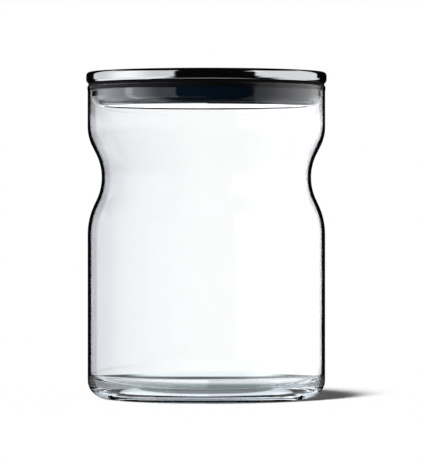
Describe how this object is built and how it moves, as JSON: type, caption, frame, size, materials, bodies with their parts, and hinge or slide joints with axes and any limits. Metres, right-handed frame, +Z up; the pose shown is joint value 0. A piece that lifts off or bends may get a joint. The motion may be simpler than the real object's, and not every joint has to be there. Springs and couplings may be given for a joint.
{
  "type": "lidded glass canister",
  "caption": "Clear glass storage canister drawn in to a waist, with a lift-off lid: a polished steel cap over a dark moulded plug that seats in the neck on a soft sealing ring.",
  "frame": {"origin": "centre of the foot on the table", "axes": "+Z up along the axis of revolution, through the middle of the lid"},
  "size_m": [0.1114, 0.1114, 0.1506],
  "materials": {
    "clear_glass": "clear blown glass, fire-polished",
    "polished_steel": "mirror-polished stainless sheet",
    "black_moulding": "glossy moulded plastic",
    "black_silicone": "satin silicone"
  },
  "bodies": {
    "jar": {"glass_body": "clear_glass"},
    "lid": {"lid_cap": "polished_steel", "lid_plug": "black_moulding", "seal_ring": "black_silicone"}
  },
  "joints": [
    {"name": "lid_lift", "type": "slide", "parent": "jar", "child": "lid", "axis": [0, 0, 1], "range_m": [0, 0.03]}
  ]
}
